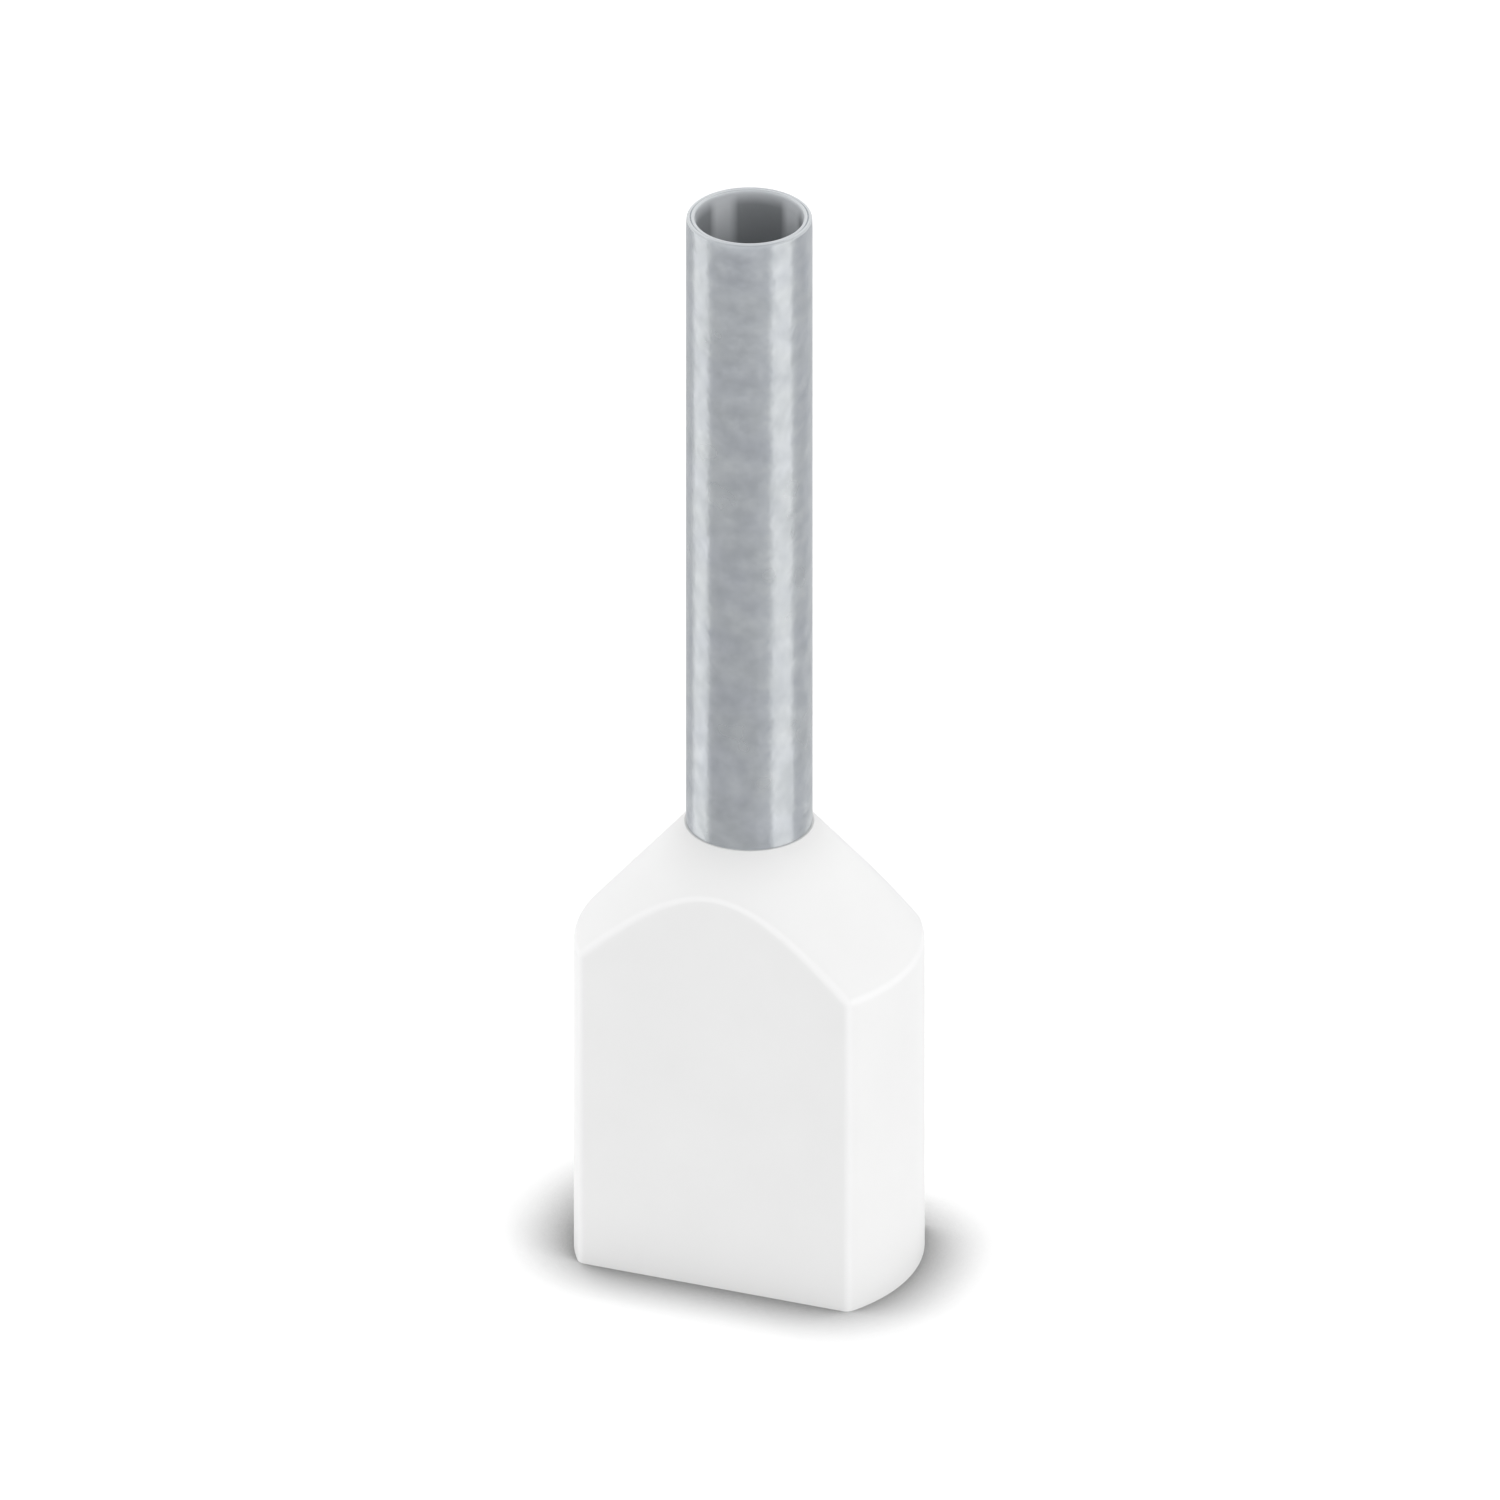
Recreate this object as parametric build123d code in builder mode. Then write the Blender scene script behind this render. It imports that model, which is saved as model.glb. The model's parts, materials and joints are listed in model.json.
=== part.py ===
"""Twin wire ferrule: a thin tinned copper sleeve with a flared foot, in a moulded insulating collar.

Two insulated conductors enter the collar's mouth side by side. The funnel inside the collar and the
sleeve's flared foot guide their bare strands into the sleeve, which is then crimped on them. The
collar is a round body with a conical shoulder, cut flat on two sides, so that each flat ends in an
arch.

The part stands on the collar's mouth. The origin is the middle of the mouth. +Z runs up the
sleeve's axis, +X along the collar's width and +Y through its thickness. Sizes are in millimetres.
"""

import os

from build123d import *

# Sleeve
sleeve_bore = 1.54  # inner diameter of the tube
sleeve_wall = 0.15  # thickness of the tube and of its flared foot
sleeve_reach = 10.0  # bare tube that stands out of the collar
rim_radius = 0.04  # rounding of both edges at the sleeve's free end
bend_radius = 0.2  # outer radius of the bend between the tube and its foot
flare_clearance = 0.05  # between the foot's edge and the collar's flat walls

# Collar
collar_width = 5.1  # across the two rounded ends
collar_thickness = 2.9  # across the two flats
collar_length = 7.0  # from the mouth to the top of the shoulder
collar_wall = 0.2  # wall round the two insulated conductors
shoulder_length = 1.9  # height of the conical shoulder
shoulder_rounding = 0.2  # rounding between the shoulder and the collar's ends
top_land = 0.025  # flat ring round the sleeve at the top of the shoulder
grip_length = 0.45  # stretch of the collar's bore that grips the tube
edge_radius = 0.15  # rounding of the edges all along the two flats
corner_radius = 0.1  # rounding of the four upright corners inside
lead_in = 0.06  # bevel inside the mouth

# The sleeve's place in the collar
tube_radius = sleeve_bore / 2 + sleeve_wall
tube_top = collar_length + sleeve_reach
throat_height = collar_length - grip_length

# The shoulder, and the walls and the funnel that follow it inside
outer_radius = collar_width / 2
shoulder_foot = collar_length - shoulder_length
shoulder_top_radius = tube_radius + top_land
slope = shoulder_length / (outer_radius - shoulder_top_radius)
inner_radius = outer_radius - collar_wall
inner_thickness = collar_thickness - 2 * collar_wall
funnel_foot = throat_height - slope * (inner_radius - tube_radius)

# The sleeve's foot, which lies on the funnel
flare_radius = inner_thickness / 2 - flare_clearance
flare_foot = throat_height - slope * (flare_radius - tube_radius)

# Sleeve: one drawn tube, whose section is a bent strip of even thickness
with BuildPart() as contact_sleeve:
    with BuildSketch(Plane.YZ):
        with BuildLine():
            FilletPolyline(
                (tube_radius, tube_top),
                (tube_radius, throat_height),
                (flare_radius, flare_foot),
                radius=bend_radius,
            )
            offset(amount=sleeve_wall, side=Side.RIGHT)
        make_face()
    revolve(axis=Axis.Z)
    rim = contact_sleeve.faces().sort_by(Axis.Z)[-1]
    fillet(rim.edges(), radius=rim_radius)

# Space inside the collar: the seat of the sleeve, the funnel and the room for two conductors
with BuildPart() as conductor_space:
    with BuildSketch(Plane.YZ):
        with BuildLine():
            FilletPolyline(
                (tube_radius, collar_length),
                (tube_radius, throat_height),
                (inner_radius, funnel_foot),
                radius=bend_radius,
            )
            Polyline(
                (inner_radius, funnel_foot),
                (inner_radius, 0),
                (0, 0),
                (0, collar_length),
                (tube_radius, collar_length),
            )
        make_face()
    revolve(axis=Axis.Z)
    with BuildSketch():
        Rectangle(collar_width, inner_thickness)
    extrude(amount=collar_length, mode=Mode.INTERSECT)
    upright_corners = conductor_space.edges().filter_by(Axis.Z).group_by(Axis.Z)[0]
    fillet(upright_corners, radius=corner_radius)

# Collar: one moulding, a round body with a conical shoulder, cut flat on two sides and hollowed
with BuildPart() as insulating_collar:
    with BuildSketch(Plane.YZ):
        with BuildLine():
            FilletPolyline(
                (outer_radius, 0),
                (outer_radius, shoulder_foot),
                (shoulder_top_radius, collar_length),
                radius=shoulder_rounding,
            )
            Polyline(
                (shoulder_top_radius, collar_length),
                (0, collar_length),
                (0, 0),
                (outer_radius, 0),
            )
        make_face()
    revolve(axis=Axis.Z)
    with BuildSketch():
        Rectangle(2 * collar_width, collar_thickness)  # wider than the body, which it cuts at the flats only
    extrude(amount=collar_length, mode=Mode.INTERSECT)
    flats = insulating_collar.faces().filter_by(Axis.Y)
    above_mouth = flats.edges().sort_by(Axis.Z)[2:]
    fillet(above_mouth, radius=edge_radius)
    add(conductor_space.part, mode=Mode.SUBTRACT)
    mouth = insulating_collar.faces().sort_by(Axis.Z)[0]
    chamfer(mouth.inner_wires()[0].edges(), length=lead_in)

contact_sleeve.part.label = "contact_sleeve"
insulating_collar.part.label = "insulating_collar"

os.makedirs("parts", exist_ok=True)
export_step(contact_sleeve.part, "parts/contact_sleeve.step")
export_step(insulating_collar.part, "parts/insulating_collar.step")
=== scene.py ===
"""Looks of the twin wire ferrule: finer skins of its two pieces, their materials, and a white studio.

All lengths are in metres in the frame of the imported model. The sizes of the two pieces come from
that model where it gives them, and are repeated here in millimetres where it doesn't.
"""

import json
import math

import bmesh
import bpy
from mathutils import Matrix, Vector


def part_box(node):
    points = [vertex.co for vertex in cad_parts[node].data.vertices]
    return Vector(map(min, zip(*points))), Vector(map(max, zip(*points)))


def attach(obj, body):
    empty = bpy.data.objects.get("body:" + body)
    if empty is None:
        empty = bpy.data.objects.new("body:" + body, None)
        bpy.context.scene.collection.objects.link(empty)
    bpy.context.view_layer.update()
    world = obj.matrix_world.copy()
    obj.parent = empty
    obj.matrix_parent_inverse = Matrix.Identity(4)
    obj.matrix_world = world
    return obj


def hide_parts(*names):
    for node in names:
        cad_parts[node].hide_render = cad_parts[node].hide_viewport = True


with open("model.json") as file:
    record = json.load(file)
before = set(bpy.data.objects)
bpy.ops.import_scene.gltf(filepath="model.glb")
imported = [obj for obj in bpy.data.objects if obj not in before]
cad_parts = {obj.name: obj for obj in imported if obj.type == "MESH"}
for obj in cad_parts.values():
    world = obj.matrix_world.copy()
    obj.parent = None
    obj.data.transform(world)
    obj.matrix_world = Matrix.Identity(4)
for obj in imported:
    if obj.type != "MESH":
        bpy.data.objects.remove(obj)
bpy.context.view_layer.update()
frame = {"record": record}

MM = 0.001

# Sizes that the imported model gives
mounts = {mount["name"]: mount for mount in frame["record"]["mounts"]}
tube_radius = mounts["sleeve_outside"]["dims"]["r_mm"] * MM
bore_radius = mounts["sleeve_bore"]["dims"]["r_mm"] * MM
sleeve_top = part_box("contact_sleeve")[1].z
flare_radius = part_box("contact_sleeve")[1].x
outer_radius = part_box("insulating_collar")[1].x
half_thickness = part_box("insulating_collar")[1].y
collar_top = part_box("insulating_collar")[1].z

# The sleeve, and what cutting the tube to length did to its end
rim_radius = 0.04 * MM  # rounding of both edges of the cut face
bend_radius = 0.2 * MM  # outer radius of the bend between the tube and its foot
lip_height = 0.22 * MM  # stretch at the end over which the two sides of the wall lean
lip_drop = 0.006 * MM  # how far the outside leans in
mouth_flare = 0.022 * MM  # how far the bore widens
groove_width = 0.024 * MM  # groove round the cut face
groove_depth = 0.016 * MM
groove_shift = 0.012 * MM  # from the middle of the wall out to the groove

# The collar's shoulder, walls and edges
shoulder_length = 1.9 * MM  # height of the conical shoulder
shoulder_rounding = 0.2 * MM  # rounding between the shoulder and the collar's ends
top_land = 0.025 * MM  # flat ring round the sleeve at the top of the shoulder
grip_length = 0.45 * MM  # stretch of the collar's bore that grips the tube
collar_wall = 0.2 * MM
edge_radius = 0.15 * MM  # rounding of the edges all along the two flats
corner_radius = 0.1 * MM  # rounding of the four upright corners inside
lead_in = 0.06 * MM  # bevel inside the mouth

# The shoulder's cone, which the funnel and the sleeve's foot follow inside
shoulder_foot = collar_top - shoulder_length
shoulder_top_radius = tube_radius + top_land
lean = math.atan2(outer_radius - shoulder_top_radius, shoulder_length)
throat_height = collar_top - grip_length

# The bend's centre, and the walls inside the collar
sleeve_wall = tube_radius - bore_radius
bend_centre_radius = tube_radius + bend_radius
bend_height = throat_height + bend_radius * math.tan(lean / 2)
inner_radius = outer_radius - collar_wall
inner_half_thickness = half_thickness - collar_wall

# How finely the forms are divided
sleeve_segments = 192
end_columns = 40  # on half of a rounded end
corner_columns = 8
flat_columns = 48  # on half of a flat
column_spacing = 1.6  # over 1, so that the flats' columns lie closer together near the corners
rounding_steps = 8
bend_steps = 10
lip_steps = 6
guard = 0.1 * MM  # a face has a row of points this close to its edge, which keeps its shading flat
guard_share = 0.3  # but no further up the cone than this share of its height
cone_rows = (0.5, 0.8, 1)  # shares of the way up the cone that have a row each
merge_distance = 1e-8
smallest_angle = 1e-9
sharp_angle = math.radians(28)

# The tin: sizes of its clouds, patches and drawing lines, its colours and its roughness
cloud_size = 0.28 * MM
patch_size = 0.7 * MM
line_size = 0.06 * MM
line_stretch = 0.05
line_relief = 0.012
tin_relief = 0.0095 * MM
tin_dark = (0.522, 0.547, 0.567)
tin_light = (0.65, 0.675, 0.69)
tin_cool = (0.995, 0.995, 1.015)
tin_warm = (1.0, 1.0, 0.99)
cut_tin = (0.665, 0.69, 0.71)
cut_start = 0.3 * rim_radius  # depths below the top where the cut face's look begins and is full
cut_full = 0.1 * rim_radius
tin_roughness = (0.22, 0.28)

# The bore, duller than the outside and lighter from some depth on, with painted light at its mouth and
# painted reflections as streaks along it
bore_dark = (0.36, 0.375, 0.39)
# bore_bright is the colour of the painted reflections in the streaks, and the colour that the bore turns
# towards with depth
bore_bright = (0.80, 0.82, 0.84)
# Painted light: the bore lighter at its mouth, where light falls in from the opening
bore_mouth = (0.6, 0.62, 0.64)
bore_metallic = 0.45
bore_roughness = 0.25  # on top of the tin's own
deep_lightening_start = 0.3 * MM  # depths where the lightening begins and where it is full
deep_lightening_end = 2.5 * MM
deep_lightening_share = 0.45
# Painted reflections: bright streaks along the bore at these azimuths
reflection_streak_azimuths = [math.radians(a) for a in (56.5, 141, 241, 322)]
streak_reach = math.radians(18)  # from a streak's middle to its edge
streak_core = math.radians(7.5)  # from its middle to where it begins to fade

# The plastic: sizes of its grain and patches, its colours and its roughness
grain_size = 0.03 * MM
grain_relief = 0.0006 * MM
mottle_size = 1.2 * MM
plastic_dark = (0.865, 0.865, 0.863)
plastic_light = (0.878, 0.878, 0.876)
# Painted highlight: the colour of the collar's rounded edges, lighter than its faces
plastic_edge_highlight = (0.92, 0.92, 0.92)
# Painted shade: the shoulder darker round the sleeve, where the sleeve's contact shadow falls
plastic_seat_shade = (0.76, 0.76, 0.758)
seat_shade_reach = 0.6 * MM  # how far from the sleeve the painted shade on the shoulder reaches
seat_shade_falloff = 2.0
plastic_roughness = (0.42, 0.48)
edge_smoothness = 0.08

# Between these values lies most of a cloudy pattern
wide_range = (0.25, 0.75)
usual_range = (0.3, 0.7)

# The photograph's view: an even scale over the whole picture and no vanishing point
picture_pixels = 1500
pixels_per_mm = 68.8
view_azimuth = math.radians(21.0)
view_elevation = math.radians(28.64)
view_right = 0.010 * MM  # from the origin to the middle of the picture, along its own axes
view_up = 7.163 * MM
camera_distance = 0.2  # has no effect on a view without perspective

# The table, and the soft dark halo where the collar meets it
table_half = 1.0  # from the middle of the table to its sides
table_paint = 0.8
contact_reach = 1.25 * MM
contact_sky = 0.5  # open share of the sky where the halo is deepest
contact_shade = 0.25  # what the deepest halo leaves of the table's brightness
bounce_shade = 0.58  # and what it leaves of the light that the table sends up

# Lamps, and grey cards that only gloss shows
white = (1, 1, 1, 1)
lamp_size = 0.12
lamp_distance = 0.2
card_tint = (0.985, 0.995, 1.02, 1)
card_steps = 24
card_reach = 60 * MM  # from the axis to the far edges of the cards on the table


def arc(centre_r, centre_z, radius, start, end, steps):
    """Points (r, z) along an arc, with the angles in radians from the r axis."""
    angles = [start + (end - start) * step / steps for step in range(steps + 1)]
    return [(centre_r + radius * math.cos(a), centre_z + radius * math.sin(a)) for a in angles]


def between(start, end, share):
    """The unit vector that is this share of the way round from one unit vector to another."""
    angle = start.angle(end)
    if angle < smallest_angle:
        return start.copy()
    return (start * math.sin((1 - share) * angle) + end * math.sin(share * angle)) / math.sin(angle)


def mesh_object(name, rings, marks):
    """A closed skin through rings of points, each joined to the next and the last to the first.

    marks gives each point of each ring its share of the material's second look, from 0 to 1.
    """
    grid = bmesh.new()
    mark = grid.verts.layers.float.new("mark")
    verts = []
    for ring, shares in zip(rings, marks):
        row = [grid.verts.new(point) for point in ring]
        for vert, share in zip(row, shares):
            vert[mark] = share
        verts.append(row)
    count = len(rings[0])
    for lower, upper in zip(verts, verts[1:] + verts[:1]):
        for i in range(count):
            j = (i + 1) % count
            grid.faces.new((lower[i], lower[j], upper[j], upper[i]))
    bmesh.ops.remove_doubles(grid, verts=grid.verts, dist=merge_distance)
    bmesh.ops.recalc_face_normals(grid, faces=grid.faces)
    mesh = bpy.data.meshes.new(name)
    grid.to_mesh(mesh)
    grid.free()
    mesh.shade_smooth()
    mesh.set_sharp_from_angle(angle=sharp_angle)
    piece = bpy.data.objects.new(name, mesh)
    bpy.context.scene.collection.objects.link(piece)
    normals = piece.modifiers.new("even_normals", "WEIGHTED_NORMAL")
    normals.keep_sharp = True
    return piece


def lip(radius, shift):
    """Points (r, z) up one side of the sleeve's end, which leans over by this shift, and its last tilt."""
    run = lip_height - rim_radius
    tilt = math.atan2(2 * abs(shift), run)
    points = []
    for step in range(lip_steps + 1):
        share = step / lip_steps
        height = sleeve_top - lip_height + share * (run + rim_radius * math.sin(tilt))
        points.append((radius + shift * share**2, height))
    return points, tilt


def sleeve_profile():
    """The sleeve's section in two parts: up the outside to the groove, and down the bore."""
    outer_bend = arc(bend_centre_radius, bend_height, bend_radius, math.pi + lean, math.pi, bend_steps)
    inner_bend = arc(
        bend_centre_radius, bend_height, bend_radius + sleeve_wall, math.pi, math.pi + lean, bend_steps
    )
    foot_run = (flare_radius - (bend_centre_radius - bend_radius * math.cos(lean))) / math.sin(lean)
    foot_outer = (flare_radius, outer_bend[0][1] - foot_run * math.cos(lean))
    foot_inner = (
        foot_outer[0] - sleeve_wall * math.cos(lean),
        foot_outer[1] - sleeve_wall * math.sin(lean),
    )
    outer_lip, outer_tilt = lip(tube_radius, -lip_drop)
    inner_lip, inner_tilt = lip(bore_radius, mouth_flare)
    rim_z = sleeve_top - rim_radius
    outer_r = tube_radius - lip_drop - rim_radius * math.cos(outer_tilt)
    inner_r = bore_radius + mouth_flare + rim_radius * math.cos(inner_tilt)
    outer_rim = arc(outer_r, rim_z, rim_radius, outer_tilt, math.pi / 2, rounding_steps)
    inner_rim = arc(inner_r, rim_z, rim_radius, math.pi / 2, math.pi - inner_tilt, rounding_steps)
    groove_r = (tube_radius + bore_radius) / 2 + groove_shift
    groove = [
        (groove_r + groove_width / 2, sleeve_top),
        (groove_r, sleeve_top - groove_depth),
        (groove_r - groove_width / 2, sleeve_top),
    ]
    outside = [foot_outer, *outer_bend, *outer_lip, *outer_rim[1:], *groove]
    inside = [*inner_rim[:-1], *reversed(inner_lip), *inner_bend, foot_inner]
    return outside, inside


def make_sleeve():
    """The sleeve's section turned round the axis. The bore is marked from half way over its rim."""
    outside, inside = sleeve_profile()
    angles = [2 * math.pi * i / sleeve_segments for i in range(sleeve_segments)]
    rings = [[(r * math.cos(a), r * math.sin(a), z) for a in angles] for r, z in outside + inside]
    half_rim = rounding_steps // 2
    shares = [0] * (len(outside) + half_rim) + [1] * (len(inside) - half_rim)
    return mesh_object("sleeve_skin", rings, [[share] * sleeve_segments for share in shares])


def outline(radius, half, rounding):
    """Columns round a disc that is cut flat on two sides.

    Each is the centre of its rounding, its outward normal, its azimuth, and its share of the way
    from the disc's round side to the flat one.
    """
    reach = radius - rounding
    corner = math.asin((half - rounding) / reach)
    quarter = []
    for i in range(end_columns + 1):
        azimuth = corner * i / end_columns
        normal = Vector((math.cos(azimuth), math.sin(azimuth), 0))
        quarter.append((normal * reach, normal, azimuth, 0))
    centre, radial, _, _ = quarter[-1]
    for i in range(1, corner_columns):
        share = i / corner_columns
        quarter.append((centre, between(radial, Vector((0, 1, 0)), share), corner, share))
    for i in range(flat_columns + 1):
        azimuth = corner + (math.pi / 2 - corner) * (i / flat_columns) ** column_spacing
        x = (half - rounding) / math.tan(azimuth)
        quarter.append((Vector((x, half - rounding, 0)), Vector((0, 1, 0)), azimuth, 1))
    columns = list(quarter)
    for centre, normal, azimuth, share in reversed(quarter[:-1]):
        centre = Vector((-centre.x, centre.y, 0))
        normal = Vector((-normal.x, normal.y, 0))
        columns.append((centre, normal, math.pi - azimuth, share))
    for centre, normal, azimuth, share in columns[1:-1]:
        columns.append((-centre, -normal, azimuth + math.pi, share))
    return columns


def edge_share(share):
    """How far a point of a rounding is from both its ends: 0 at each end and 1 half way."""
    return math.sin(math.pi * share)


def ball_stops(spread):
    """Stops of a ball of the edge's radius that rolls up inside the shoulder's rounding.

    It starts this far from the axis. Each stop is its distance from the axis, its height, and the
    body's lean there. A ball that starts against the cone stays where it is.
    """
    spare = shoulder_rounding - edge_radius
    turn_r = outer_radius - shoulder_rounding
    turn_z = shoulder_foot - shoulder_rounding * math.tan(lean / 2)
    cone_r = turn_r + spare * math.cos(lean)
    cone_z = turn_z + spare * math.sin(lean)
    if spread < cone_r:
        height = cone_z + (cone_r - spread) / math.tan(lean)
        return [(spread, height, lean)] * (rounding_steps + 1)
    first = math.acos(min((spread - turn_r) / spare, 1))
    stops = []
    for i in range(rounding_steps + 1):
        angle = first + (lean - first) * (i / rounding_steps)
        stops.append((turn_r + spare * math.cos(angle), turn_z + spare * math.sin(angle), angle))
    return stops


def outer_column(centre, normal, azimuth, corner):
    """One column of the collar's outside, from the mouth over the roundings to the top.

    Each point comes with its share of edge: 1 in the middle of a rounding and 0 on the faces.
    """
    flat_normal = Vector((0, math.copysign(1, centre.y), 0))
    stops = ball_stops(math.hypot(centre.x, centre.y))
    rounding = []
    for i, (spread, height, angle) in enumerate(stops):
        around = Vector((math.cos(azimuth), math.sin(azimuth), 0))
        if corner > 0:
            x = math.copysign(math.sqrt(max(spread**2 - centre.y**2, 0)), centre.x)
            around = Vector((x, centre.y, 0)).normalized()
        ball = around * spread + Vector((0, 0, height))
        body_normal = around * math.cos(angle) + Vector((0, 0, math.sin(angle)))
        across = 1 - corner * (1 - i / rounding_steps)
        point = ball + between(flat_normal, body_normal, across) * edge_radius
        rounding.append((point, max(edge_share(across), across * edge_share(angle / lean))))
    foot = stops[0][1]
    side = centre + normal * edge_radius
    column = [(side + Vector((0, 0, z)), edge_share(corner)) for z in (0, guard, foot / 2, foot - guard)]
    start = rounding[-1][0]
    top = around * shoulder_top_radius + Vector((0, 0, collar_top))
    near = min(guard / (top - start).length, guard_share)
    cone = [(start.lerp(top, share), 0) for share in (near, *cone_rows)]
    return column + rounding + cone


def inner_column(centre, normal):
    """One column of the collar's inside, from the top down the seat and the funnel to the mouth."""
    side = centre + normal * corner_radius
    spread = math.hypot(side.x, side.y)
    around = Vector((side.x, side.y, 0)).normalized()
    bend = arc(bend_centre_radius, bend_height, bend_radius, math.pi, math.pi + lean, bend_steps)
    funnel_end = bend[-1][1] - (spread - bend[-1][0]) / math.tan(lean)
    column = [around * tube_radius + Vector((0, 0, collar_top))]
    column += [around * r + Vector((0, 0, z)) for r, z in bend]
    corner = side + Vector((0, 0, funnel_end))
    column += [column[-1].lerp(corner, 0.5), corner]
    column += [side + Vector((0, 0, z)) for z in (funnel_end / 2, lead_in)]
    column.append(side + normal * lead_in)
    return [(point, 0) for point in column]


def make_collar():
    """The collar's outside and inside, column by column, with its rounded edges marked."""
    outer = outline(outer_radius, half_thickness, edge_radius)
    inner = outline(inner_radius, inner_half_thickness, corner_radius)
    columns = [outer_column(*o) + inner_column(*i[:2]) for o, i in zip(outer, inner)]
    rows = list(zip(*columns))
    rings = [[point for point, _ in row] for row in rows]
    marks = [[share for _, share in row] for row in rows]
    return mesh_object("collar_skin", rings, marks)


def material(name):
    """A new material, its node tree and its output, which is all that the tree holds as yet."""
    mat = bpy.data.materials.new(name)
    mat.use_nodes = True
    tree = mat.node_tree
    tree.nodes.clear()
    out = tree.nodes.new("ShaderNodeOutputMaterial")
    return mat, tree, out


def feed(tree, socket, value):
    """Give an input its value, which is a constant or another node's output."""
    if isinstance(value, bpy.types.NodeSocket):
        tree.links.new(value, socket)
    else:
        socket.default_value = value


def node(tree, kind, **inputs):
    """A node with its inputs set by name, each a constant or another node's output."""
    made = tree.nodes.new(kind)
    for key, value in inputs.items():
        feed(tree, made.inputs[key.replace("_", " ")], value)
    return made


def math_node(tree, operation, *values):
    """The result of one sum, product or other operation, each value a number or a node's output."""
    made = tree.nodes.new("ShaderNodeMath")
    made.operation = operation
    for socket, value in zip(made.inputs, values):
        feed(tree, socket, value)
    return made.outputs["Value"]


def noise(tree, position, size, roughness=0.5):
    """A cloudy pattern whose patches are about this size across."""
    made = node(
        tree,
        "ShaderNodeTexNoise",
        Vector=position,
        Scale=1 / size,
        Detail=2.0,
        Roughness=roughness,
    )
    return made.outputs["Fac"]


def ramp(tree, value, low, high, to_low, to_high):
    """The value's range from low to high, stretched evenly onto another range and held to it."""
    made = node(
        tree,
        "ShaderNodeMapRange",
        Value=value,
        From_Min=low,
        From_Max=high,
        To_Min=to_low,
        To_Max=to_high,
    )
    return made.outputs["Result"]


def colour_mix(tree, factor, first, second):
    """A blend of two colours, each given as three numbers or as another node's output."""
    made = tree.nodes.new("ShaderNodeMix")
    made.data_type = "RGBA"
    feed(tree, made.inputs["Factor"], factor)
    colour_inputs = made.inputs[6:8]  # the others are for numbers, vectors and rotations
    colour_output = made.outputs[2]
    for socket, colour in zip(colour_inputs, (first, second)):
        feed(tree, socket, (*colour, 1) if isinstance(colour, tuple) else colour)
    return colour_output


def mark_share(tree):
    """How much of the material's second look a point has: 1 in the bore or in the middle of an edge."""
    made = tree.nodes.new("ShaderNodeAttribute")
    made.attribute_name = "mark"
    return made.outputs["Fac"]


def bore_colour(tree, split):
    """Dull tin, lighter with depth, with painted light at the mouth and painted reflections as bright
    streaks along the bore.
    """
    azimuth = math_node(tree, "ARCTAN2", split.outputs["Y"], split.outputs["X"])
    nearness = -1.0
    # The streaks are painted reflections
    for middle in reflection_streak_azimuths:
        toward = math_node(tree, "COSINE", math_node(tree, "SUBTRACT", azimuth, middle))
        nearness = math_node(tree, "MAXIMUM", toward, nearness)
    streak = ramp(tree, nearness, math.cos(streak_reach), math.cos(streak_core), 0, 1)
    streaks = colour_mix(tree, streak, bore_dark, bore_bright)
    z = split.outputs["Z"]
    depth = ramp(tree, z, sleeve_top - deep_lightening_start, sleeve_top - deep_lightening_end, 0, deep_lightening_share)
    deep_lightened = colour_mix(tree, depth, streaks, bore_bright)
    # Painted light at the mouth of the bore
    mouth = ramp(tree, z, sleeve_top - lip_height, sleeve_top - rim_radius, 0, 1)
    return colour_mix(tree, mouth, deep_lightened, bore_mouth)


def tinned_copper():
    """Bright tin plating on a drawn tube, dull in the bore, which has painted light and painted
    reflections: cloudy patches and faint drawing lines.
    """
    mat, tree, out = material("tinned_copper")
    place = tree.nodes.new("ShaderNodeTexCoord").outputs["Object"]
    split = node(tree, "ShaderNodeSeparateXYZ", Vector=place)
    clouds = noise(tree, place, cloud_size, roughness=0.45)
    patches = noise(tree, place, patch_size)
    stretch = node(tree, "ShaderNodeMapping", Vector=place, Scale=(1, 1, line_stretch))
    lines = noise(tree, stretch.outputs["Vector"], line_size)
    bore = mark_share(tree)
    bright = colour_mix(tree, ramp(tree, clouds, *wide_range, 0, 1), tin_dark, tin_light)
    hue = colour_mix(tree, ramp(tree, patches, *usual_range, 0, 1), tin_cool, tin_warm)
    tint = tree.nodes.new("ShaderNodeVectorMath")
    tint.operation = "MULTIPLY"
    feed(tree, tint.inputs[0], bright)
    feed(tree, tint.inputs[1], hue)
    drawn = colour_mix(tree, bore, tint.outputs["Vector"], bore_colour(tree, split))
    cut = ramp(tree, split.outputs["Z"], sleeve_top - cut_start, sleeve_top - cut_full, 0, 1)
    colour = colour_mix(tree, cut, drawn, cut_tin)
    height = math_node(tree, "MULTIPLY_ADD", lines, line_relief, clouds)
    bump = node(tree, "ShaderNodeBump", Strength=1.0, Distance=tin_relief, Height=height)
    roughness = ramp(tree, patches, *usual_range, *tin_roughness)
    shine = node(
        tree,
        "ShaderNodeBsdfPrincipled",
        Base_Color=colour,
        Metallic=ramp(tree, bore, 0, 1, 1.0, bore_metallic),
        Roughness=math_node(tree, "ADD", roughness, ramp(tree, bore, 0, 1, 0, bore_roughness)),
        Normal=bump.outputs["Normal"],
    )
    tree.links.new(shine.outputs["BSDF"], out.inputs["Surface"])
    return mat


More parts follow.
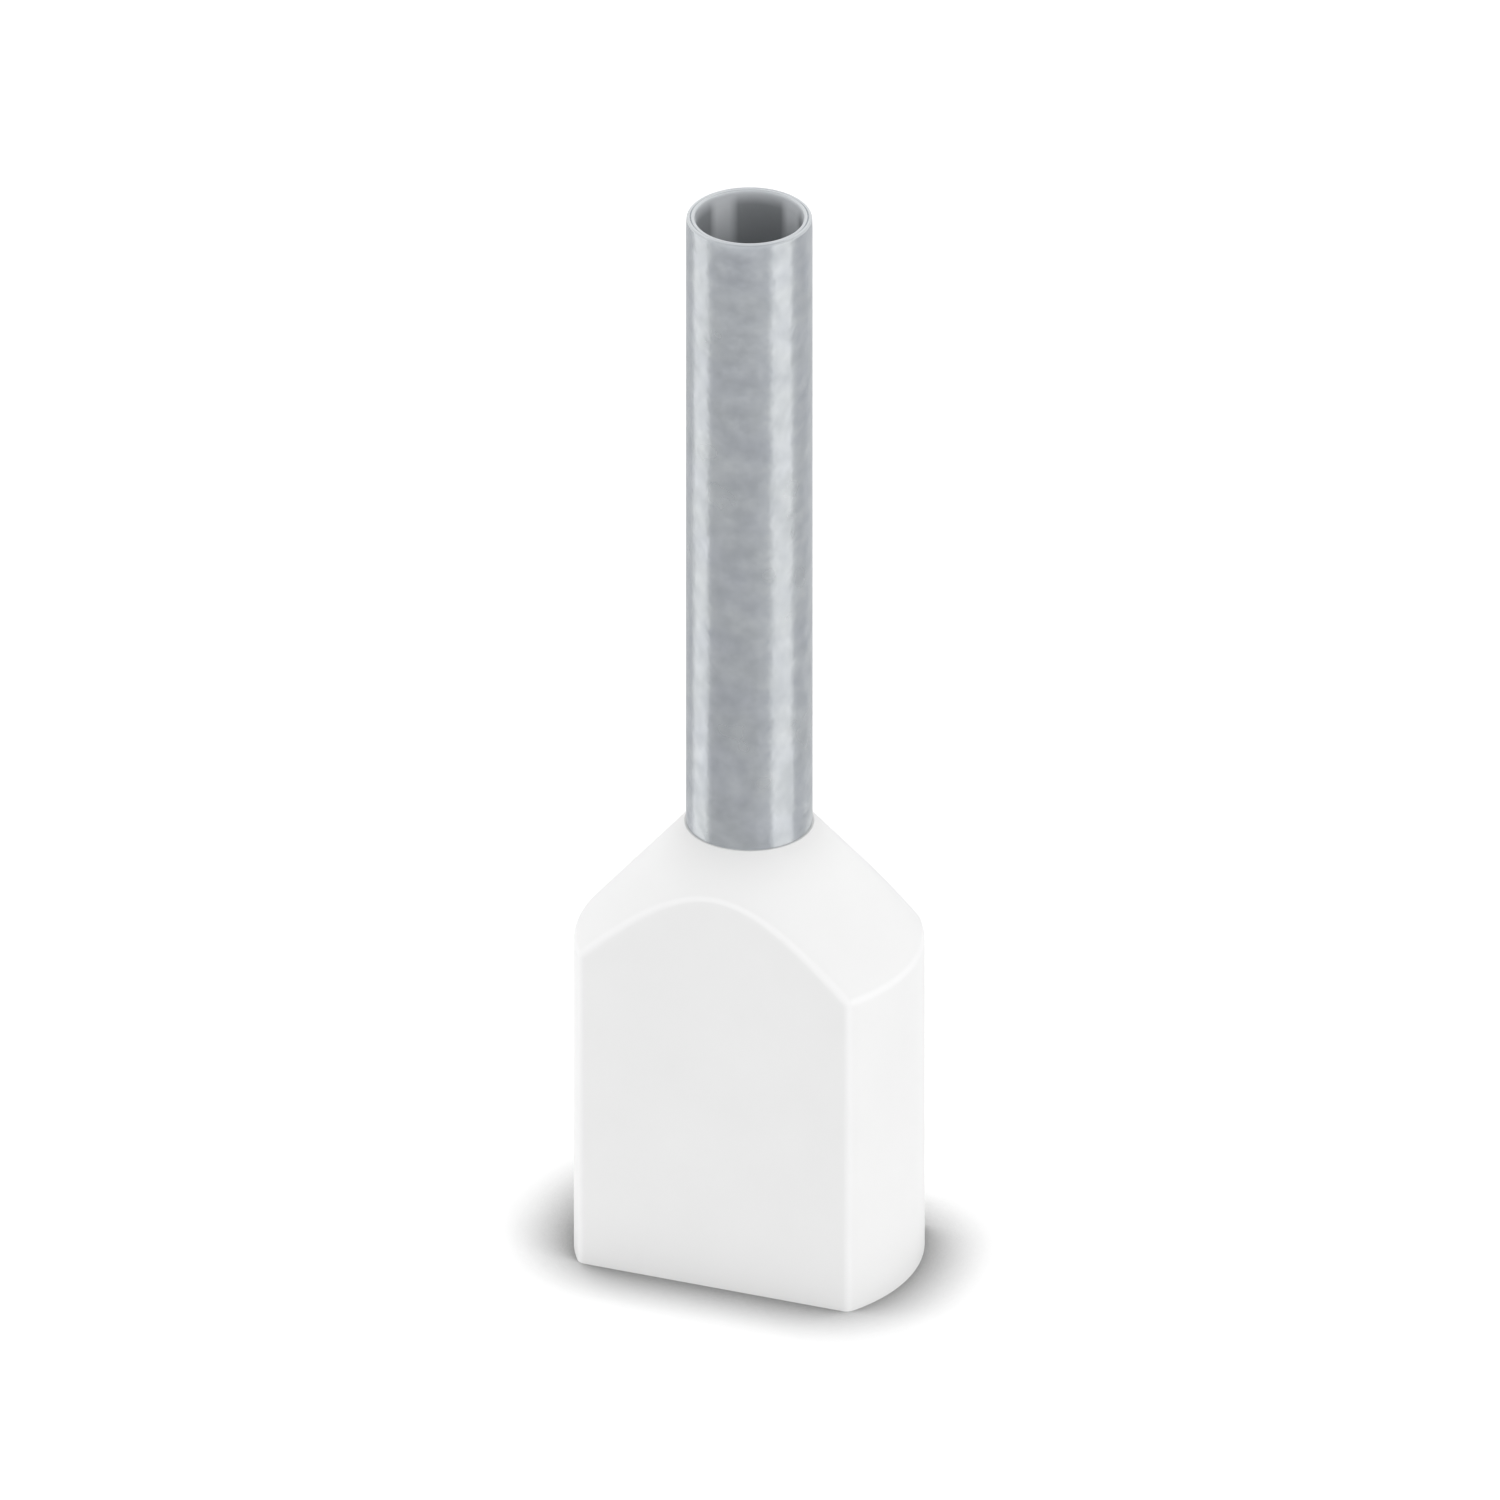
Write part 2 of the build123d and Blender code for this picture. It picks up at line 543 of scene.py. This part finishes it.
def white_plastic():
    """Satin white moulding, smoother on its edges, with a painted highlight on the edges and painted shade
    on the shoulder round the sleeve.
    """
    mat, tree, out = material("white_plastic")
    place = tree.nodes.new("ShaderNodeTexCoord").outputs["Object"]
    split = node(tree, "ShaderNodeSeparateXYZ", Vector=place)
    grain = noise(tree, place, grain_size)
    mottle = noise(tree, place, mottle_size)
    edge = mark_share(tree)
    faces = colour_mix(tree, ramp(tree, mottle, *usual_range, 0, 1), plastic_dark, plastic_light)
    level_place = node(tree, "ShaderNodeCombineXYZ", X=split.outputs["X"], Y=split.outputs["Y"])
    distance = tree.nodes.new("ShaderNodeVectorMath")
    distance.operation = "LENGTH"
    feed(tree, distance.inputs[0], level_place.outputs["Vector"])
    # Painted shade: the shoulder darker near the sleeve, where the sleeve's contact shadow falls
    near_seat = ramp(tree, distance.outputs["Value"], tube_radius, tube_radius + seat_shade_reach, 1, 0)
    seat_shade_share = math_node(tree, "POWER", near_seat, seat_shade_falloff)
    seat_shaded = colour_mix(tree, seat_shade_share, faces, plastic_seat_shade)
    on_cone = math_node(tree, "GREATER_THAN", split.outputs["Z"], shoulder_foot)
    faces = colour_mix(tree, on_cone, faces, seat_shaded)
    roughness = ramp(tree, mottle, *usual_range, *plastic_roughness)
    bump = node(tree, "ShaderNodeBump", Strength=0.5, Distance=grain_relief, Height=grain)
    # The lighter colour on the edges is a painted highlight
    skin = node(
        tree,
        "ShaderNodeBsdfPrincipled",
        Base_Color=colour_mix(tree, edge, faces, plastic_edge_highlight),
        Roughness=math_node(tree, "MULTIPLY_ADD", edge, -edge_smoothness, roughness),
        Normal=bump.outputs["Normal"],
    )
    tree.links.new(skin.outputs["BSDF"], out.inputs["Surface"])
    return mat


def seen_share(tree):
    """1 for what the camera sees, also in a gloss or through glass, and 0 for what lights things."""
    path = tree.nodes.new("ShaderNodeLightPath")
    sent_on = math_node(tree, "MAXIMUM", path.outputs["Is Glossy Ray"], path.outputs["Is Transmission Ray"])
    direct = math_node(tree, "LESS_THAN", path.outputs["Diffuse Depth"], 0.5)
    return math_node(tree, "MULTIPLY_ADD", sent_on, direct, path.outputs["Is Camera Ray"])


def make_world(horizon, zenith):
    """White where it is seen, and a pale light from all sides that is strongest from the horizon."""
    world = bpy.data.worlds.new("studio")
    world.use_nodes = True
    tree = world.node_tree
    tree.nodes.clear()
    out = tree.nodes.new("ShaderNodeOutputWorld")
    direction = tree.nodes.new("ShaderNodeTexCoord").outputs["Generated"]
    split = node(tree, "ShaderNodeSeparateXYZ", Vector=direction)
    level = ramp(tree, split.outputs["Z"], 0, 1, horizon, zenith)
    light = node(tree, "ShaderNodeBackground", Color=white, Strength=level)
    backdrop = node(tree, "ShaderNodeBackground", Color=white, Strength=1.0)
    mix = tree.nodes.new("ShaderNodeMixShader")
    tree.links.new(seen_share(tree), mix.inputs[0])
    tree.links.new(light.outputs["Background"], mix.inputs[1])
    tree.links.new(backdrop.outputs["Background"], mix.inputs[2])
    tree.links.new(mix.outputs["Shader"], out.inputs["Surface"])
    bpy.context.scene.world = world


def make_floor(glow):
    """A white table top that takes the object's shadow, with a painted shadow round the collar's foot, and
    is white beyond it.
    """
    mat, tree, out = material("table_top")
    near = node(tree, "ShaderNodeAmbientOcclusion", Distance=contact_reach)
    near.samples = 8
    seen = seen_share(tree)
    # Painted shadow: the table is darker where little sky is open near the collar, both as seen and, less,
    # in the light that it sends up
    darkest = ramp(tree, seen, 0, 1, bounce_shade, contact_shade)
    open_share = ramp(tree, near.outputs["AO"], contact_sky, 1.0, darkest, 1.0)
    paint_level = math_node(tree, "MULTIPLY", open_share, table_paint)
    paint = node(tree, "ShaderNodeBsdfDiffuse", Color=paint_level)
    strength = math_node(tree, "MULTIPLY", math_node(tree, "MULTIPLY", seen, open_share), glow)
    shine = node(tree, "ShaderNodeEmission", Color=white, Strength=strength)
    both = tree.nodes.new("ShaderNodeAddShader")
    tree.links.new(paint.outputs["BSDF"], both.inputs[0])
    tree.links.new(shine.outputs["Emission"], both.inputs[1])
    tree.links.new(both.outputs["Shader"], out.inputs["Surface"])
    mesh = bpy.data.meshes.new("table_top")
    corners = [(x * table_half, y * table_half, 0) for x, y in ((-1, -1), (1, -1), (1, 1), (-1, 1))]
    mesh.from_pydata(corners, [], [(0, 1, 2, 3)])
    mesh.materials.append(mat)
    table = bpy.data.objects.new("table_top", mesh)
    bpy.context.scene.collection.objects.link(table)


def from_view(turn, elevation):
    """A direction at this turn to the right of the photograph's view and this elevation, in degrees."""
    a = view_azimuth + math.radians(turn)
    e = math.radians(elevation)
    return Vector((math.sin(a) * math.cos(e), -math.cos(a) * math.cos(e), math.sin(e)))


def soft_light(name, turn, elevation, strength):
    """A square lamp that faces the collar's top from this direction and isn't seen itself."""
    lamp = bpy.data.lights.new(name, "AREA")
    lamp.size = lamp_size
    lamp.energy = 4 * math.pi * strength * lamp_size**2
    direction = from_view(turn, elevation)
    holder = bpy.data.objects.new(name, lamp)
    holder.location = Vector((0, 0, collar_top)) + direction * lamp_distance
    holder.rotation_mode = "QUATERNION"
    holder.rotation_quaternion = direction.to_track_quat("Z", "Y")
    holder.visible_camera = False
    holder.visible_glossy = False
    bpy.context.scene.collection.objects.link(holder)


def gloss_card(name, points, faces, grey):
    """A grey sheet that only gloss shows, for the sleeve to mirror."""
    mesh = bpy.data.meshes.new(name)
    mesh.from_pydata(points, [], faces)
    mat, tree, out = material(name)
    shine = node(tree, "ShaderNodeEmission", Color=card_tint, Strength=grey)
    tree.links.new(shine.outputs["Emission"], out.inputs["Surface"])
    mesh.materials.append(mat)
    card = bpy.data.objects.new(name, mesh)
    card.visible_camera = False
    card.visible_diffuse = False
    card.visible_shadow = False
    card.visible_transmission = False
    bpy.context.scene.collection.objects.link(card)


def curved_card(name, start, end, grey, low_edge, high_edge):
    """A card between two turns from the view, and between two edges that are (radius, height)."""
    points = []
    for i in range(card_steps + 1):
        direction = from_view(start + (end - start) * i / card_steps, 0)
        for radius, height in (low_edge, high_edge):
            points.append(direction * radius + Vector((0, 0, height)))
    faces = [(2 * i, 2 * i + 1, 2 * i + 3, 2 * i + 2) for i in range(card_steps)]
    gloss_card(name, points, faces, grey)


def table_card(name, start, end, grey, near=6 * MM, height=0.02 * MM):
    """A card that lies just over the table, from this near to the part out to the cards' reach."""
    curved_card(name, start, end, grey, (near, height), (card_reach, height))


def make_camera():
    """A camera without perspective, in the photograph's direction, scale and place."""
    back = from_view(0, math.degrees(view_elevation))
    right = Vector((math.cos(view_azimuth), math.sin(view_azimuth), 0))
    up = back.cross(right)
    data = bpy.data.cameras.new("camera")
    data.type = "ORTHO"
    data.ortho_scale = picture_pixels / pixels_per_mm * MM
    data.clip_start = 0.01
    data.clip_end = 2.0
    camera = bpy.data.objects.new("camera", data)
    camera.location = right * view_right + up * view_up + back * camera_distance
    camera.rotation_mode = "QUATERNION"
    camera.rotation_quaternion = back.to_track_quat("Z", "Y")
    bpy.context.scene.collection.objects.link(camera)
    bpy.context.scene.camera = camera


sleeve = make_sleeve()
sleeve.data.materials.append(tinned_copper())
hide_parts("contact_sleeve")
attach(sleeve, "root")

collar = make_collar()
collar.data.materials.append(white_plastic())
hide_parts("insulating_collar")
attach(collar, "root")

make_world(horizon=1.37, zenith=0.455)
make_floor(glow=0.32)

# Lamps from the right and the left, and two weak ones from behind for the collar's lighter outline
soft_light("right_lamp", turn=55, elevation=32, strength=0.50)
soft_light("left_lamp", turn=-100, elevation=14, strength=0.43)
soft_light("back_left_lamp", turn=-160, elevation=15, strength=0.27)
soft_light("back_right_lamp", turn=160, elevation=15, strength=0.21)

# Cards: their gaps and greys make the bright and dark bands along the sleeve
table_card("front_card", -79, 14, grey=0.57)
table_card("front_right_card", 14, 40, grey=0.64)
table_card("front_far_card", -79, 40, grey=0.72, near=34 * MM, height=0.04 * MM)
table_card("right_card", 84, 120, grey=0.66)
table_card("back_right_card", 120, 180, grey=0.70, near=13 * MM)
table_card("back_left_card", 180, 240, grey=0.65, near=13 * MM)
curved_card("front_wall", -79, 45, grey=0.82, low_edge=(card_reach, 0), high_edge=(card_reach, 110 * MM))
curved_card("overhead_card", -180, 180, grey=0.65, low_edge=(0, 200 * MM), high_edge=(130 * MM, 200 * MM))

make_camera()
bpy.context.scene.view_settings.view_transform = "Standard"
